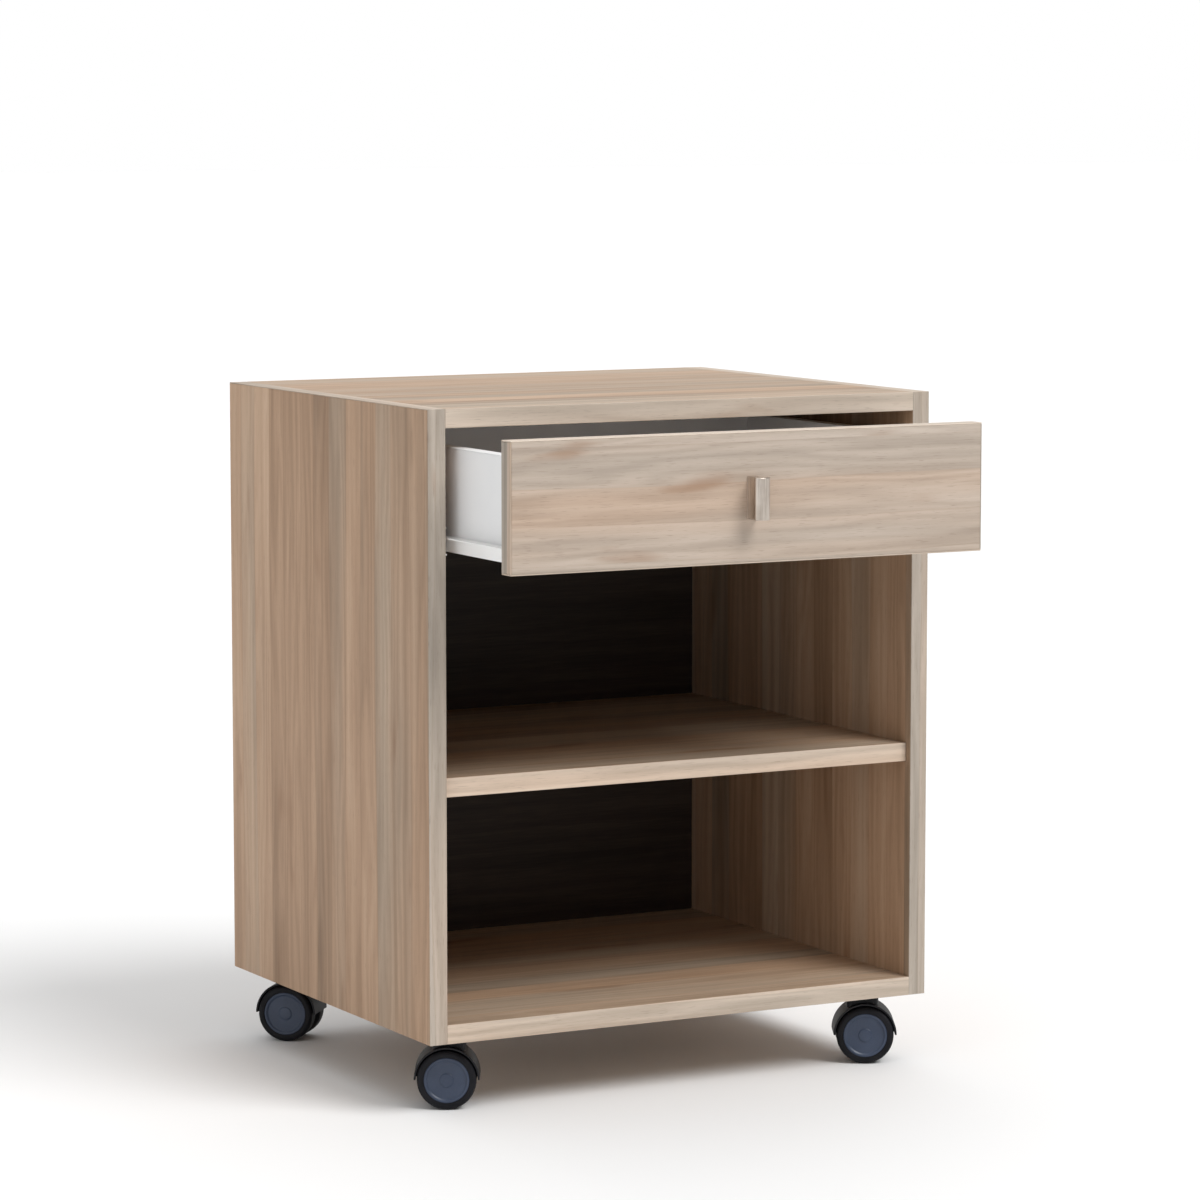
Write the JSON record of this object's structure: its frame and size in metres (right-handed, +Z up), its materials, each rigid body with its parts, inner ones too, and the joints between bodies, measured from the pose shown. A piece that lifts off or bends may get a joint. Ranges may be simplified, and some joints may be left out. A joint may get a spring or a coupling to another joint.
{
  "type": "mobile printer stand",
  "caption": "Open chipboard cabinet on swivel casters, with a shelf between two open bays and a shallow drawer on roller runners under a flat top that carries a printer.",
  "frame": {"origin": "on the floor under the middle of the cabinet", "axes": "+Z up, the front faces -Y, and +X is to the right of someone who faces the front"},
  "size_m": [0.48, 0.532, 0.588],
  "materials": {
    "oak_decor": "matt printed oak-look melamine on chipboard",
    "white_board": "smooth white melamine on chipboard",
    "white_steel": "white epoxy coating",
    "white_nylon": "matt",
    "zinc": "zinc plated",
    "bright_steel": "bright",
    "satin_metal": "satin",
    "black_plastic": "matt",
    "wheel_plastic": "satin blue-grey"
  },
  "bodies": {
    "cabinet": {"left_side_panel": "oak_decor", "right_side_panel": "oak_decor", "top_panel": "oak_decor", "bottom_panel": "oak_decor", "back_panel": "oak_decor", "middle_shelf": "oak_decor", "shelf_pin_left_front": "bright_steel", "shelf_pin_left_rear": "bright_steel", "shelf_pin_right_front": "bright_steel", "shelf_pin_right_rear": "bright_steel", "cam_fitting_top_left_front": "zinc", "cam_fitting_top_left_rear": "zinc", "cam_fitting_top_right_front": "zinc", "cam_fitting_top_right_rear": "zinc", "cam_fitting_bottom_left_front": "zinc", "cam_fitting_bottom_left_rear": "zinc", "cam_fitting_bottom_right_front": "zinc", "cam_fitting_bottom_right_rear": "zinc", "cabinet_rail_left": "white_steel", "cabinet_rail_right": "white_steel", "caster_front_left_plate": "zinc", "caster_front_left_kingpin": "bright_steel", "caster_front_right_plate": "zinc", "caster_front_right_kingpin": "bright_steel", "caster_rear_left_plate": "zinc", "caster_rear_left_kingpin": "bright_steel", "caster_rear_right_plate": "zinc", "caster_rear_right_kingpin": "bright_steel"},
    "drawer": {"drawer_front": "oak_decor", "drawer_left_side": "white_board", "drawer_right_side": "white_board", "drawer_back": "white_board", "drawer_floor": "white_board", "drawer_rail_left": "white_steel", "drawer_rail_right": "white_steel", "drawer_knob": "satin_metal", "knob_screw": "bright_steel"},
    "cabinet_roller_left": {"cabinet_roller_left": "white_nylon"},
    "cabinet_roller_right": {"cabinet_roller_right": "white_nylon"},
    "drawer_roller_left": {"drawer_roller_left": "white_nylon"},
    "drawer_roller_right": {"drawer_roller_right": "white_nylon"},
    "swivel_front_left": {"caster_front_left_hood": "black_plastic", "caster_front_left_axle": "bright_steel"},
    "swivel_front_right": {"caster_front_right_hood": "black_plastic", "caster_front_right_axle": "bright_steel"},
    "swivel_rear_left": {"caster_rear_left_hood": "black_plastic", "caster_rear_left_axle": "bright_steel"},
    "swivel_rear_right": {"caster_rear_right_hood": "black_plastic", "caster_rear_right_axle": "bright_steel"},
    "wheel_front_left_left": {"caster_front_left_wheel_left": "wheel_plastic"},
    "wheel_front_left_right": {"caster_front_left_wheel_right": "wheel_plastic"},
    "wheel_front_right_left": {"caster_front_right_wheel_left": "wheel_plastic"},
    "wheel_front_right_right": {"caster_front_right_wheel_right": "wheel_plastic"},
    "wheel_rear_left_left": {"caster_rear_left_wheel_left": "wheel_plastic"},
    "wheel_rear_left_right": {"caster_rear_left_wheel_right": "wheel_plastic"},
    "wheel_rear_right_left": {"caster_rear_right_wheel_left": "wheel_plastic"},
    "wheel_rear_right_right": {"caster_rear_right_wheel_right": "wheel_plastic"}
  },
  "joints": [
    {"name": "drawer_slide", "type": "slide", "parent": "cabinet", "child": "drawer", "axis": [0, -1, 0], "range_m": [-0.112, 0.15]},
    {"name": "cabinet_roller_left_spin", "type": "hinge", "parent": "cabinet", "child": "cabinet_roller_left", "pos_m": [-0.21805, -0.173, 0.474], "axis": [1, 0, 0], "continuous": true},
    {"name": "cabinet_roller_right_spin", "type": "hinge", "parent": "cabinet", "child": "cabinet_roller_right", "pos_m": [0.21805, -0.173, 0.474], "axis": [1, 0, 0], "continuous": true},
    {"name": "drawer_roller_left_spin", "type": "hinge", "parent": "drawer", "child": "drawer_roller_left", "pos_m": [-0.21805, 0.042, 0.4775], "axis": [1, 0, 0], "continuous": true},
    {"name": "drawer_roller_right_spin", "type": "hinge", "parent": "drawer", "child": "drawer_roller_right", "pos_m": [0.21805, 0.042, 0.4775], "axis": [1, 0, 0], "continuous": true},
    {"name": "caster_front_left_swivel", "type": "hinge", "parent": "cabinet", "child": "swivel_front_left", "pos_m": [-0.196, -0.158, 0.05], "axis": [0, 0, 1], "continuous": true},
    {"name": "caster_front_left_wheel_left_spin", "type": "hinge", "parent": "swivel_front_left", "child": "wheel_front_left_left", "pos_m": [-0.20218, -0.15471, 0.025], "axis": [-0.4695, -0.8829, 0], "continuous": true},
    {"name": "caster_front_left_wheel_right_spin", "type": "hinge", "parent": "swivel_front_left", "child": "wheel_front_left_right", "pos_m": [-0.20218, -0.15471, 0.025], "axis": [-0.4695, -0.8829, 0], "continuous": true},
    {"name": "caster_front_right_swivel", "type": "hinge", "parent": "cabinet", "child": "swivel_front_right", "pos_m": [0.196, -0.158, 0.05], "axis": [0, 0, 1], "continuous": true},
    {"name": "caster_front_right_wheel_left_spin", "type": "hinge", "parent": "swivel_front_right", "child": "wheel_front_right_left", "pos_m": [0.20218, -0.16129, 0.025], "axis": [0.4695, 0.8829, 0], "continuous": true},
    {"name": "caster_front_right_wheel_right_spin", "type": "hinge", "parent": "swivel_front_right", "child": "wheel_front_right_right", "pos_m": [0.20218, -0.16129, 0.025], "axis": [0.4695, 0.8829, 0], "continuous": true},
    {"name": "caster_rear_left_swivel", "type": "hinge", "parent": "cabinet", "child": "swivel_rear_left", "pos_m": [-0.196, 0.158, 0.05], "axis": [0, 0, 1], "continuous": true},
    {"name": "caster_rear_left_wheel_left_spin", "type": "hinge", "parent": "swivel_rear_left", "child": "wheel_rear_left_left", "pos_m": [-0.2012, 0.16268, 0.025], "axis": [-0.6691, -0.7431, 0], "continuous": true},
    {"name": "caster_rear_left_wheel_right_spin", "type": "hinge", "parent": "swivel_rear_left", "child": "wheel_rear_left_right", "pos_m": [-0.2012, 0.16268, 0.025], "axis": [-0.6691, -0.7431, 0], "continuous": true},
    {"name": "caster_rear_right_swivel", "type": "hinge", "parent": "cabinet", "child": "swivel_rear_right", "pos_m": [0.196, 0.158, 0.05], "axis": [0, 0, 1], "continuous": true},
    {"name": "caster_rear_right_wheel_left_spin", "type": "hinge", "parent": "swivel_rear_right", "child": "wheel_rear_right_left", "pos_m": [0.19839, 0.16458, 0.025], "axis": [-0.9397, 0.342, 0], "continuous": true},
    {"name": "caster_rear_right_wheel_right_spin", "type": "hinge", "parent": "swivel_rear_right", "child": "wheel_rear_right_right", "pos_m": [0.19839, 0.16458, 0.025], "axis": [-0.9397, 0.342, 0], "continuous": true}
  ],
  "couplings": [
    {"joint": "cabinet_roller_left_spin", "follows": "drawer_slide", "rad_per_m": 153.85},
    {"joint": "cabinet_roller_right_spin", "follows": "drawer_slide", "rad_per_m": 153.85},
    {"joint": "drawer_roller_left_spin", "follows": "drawer_slide", "rad_per_m": 100},
    {"joint": "drawer_roller_right_spin", "follows": "drawer_slide", "rad_per_m": 100}
  ]
}
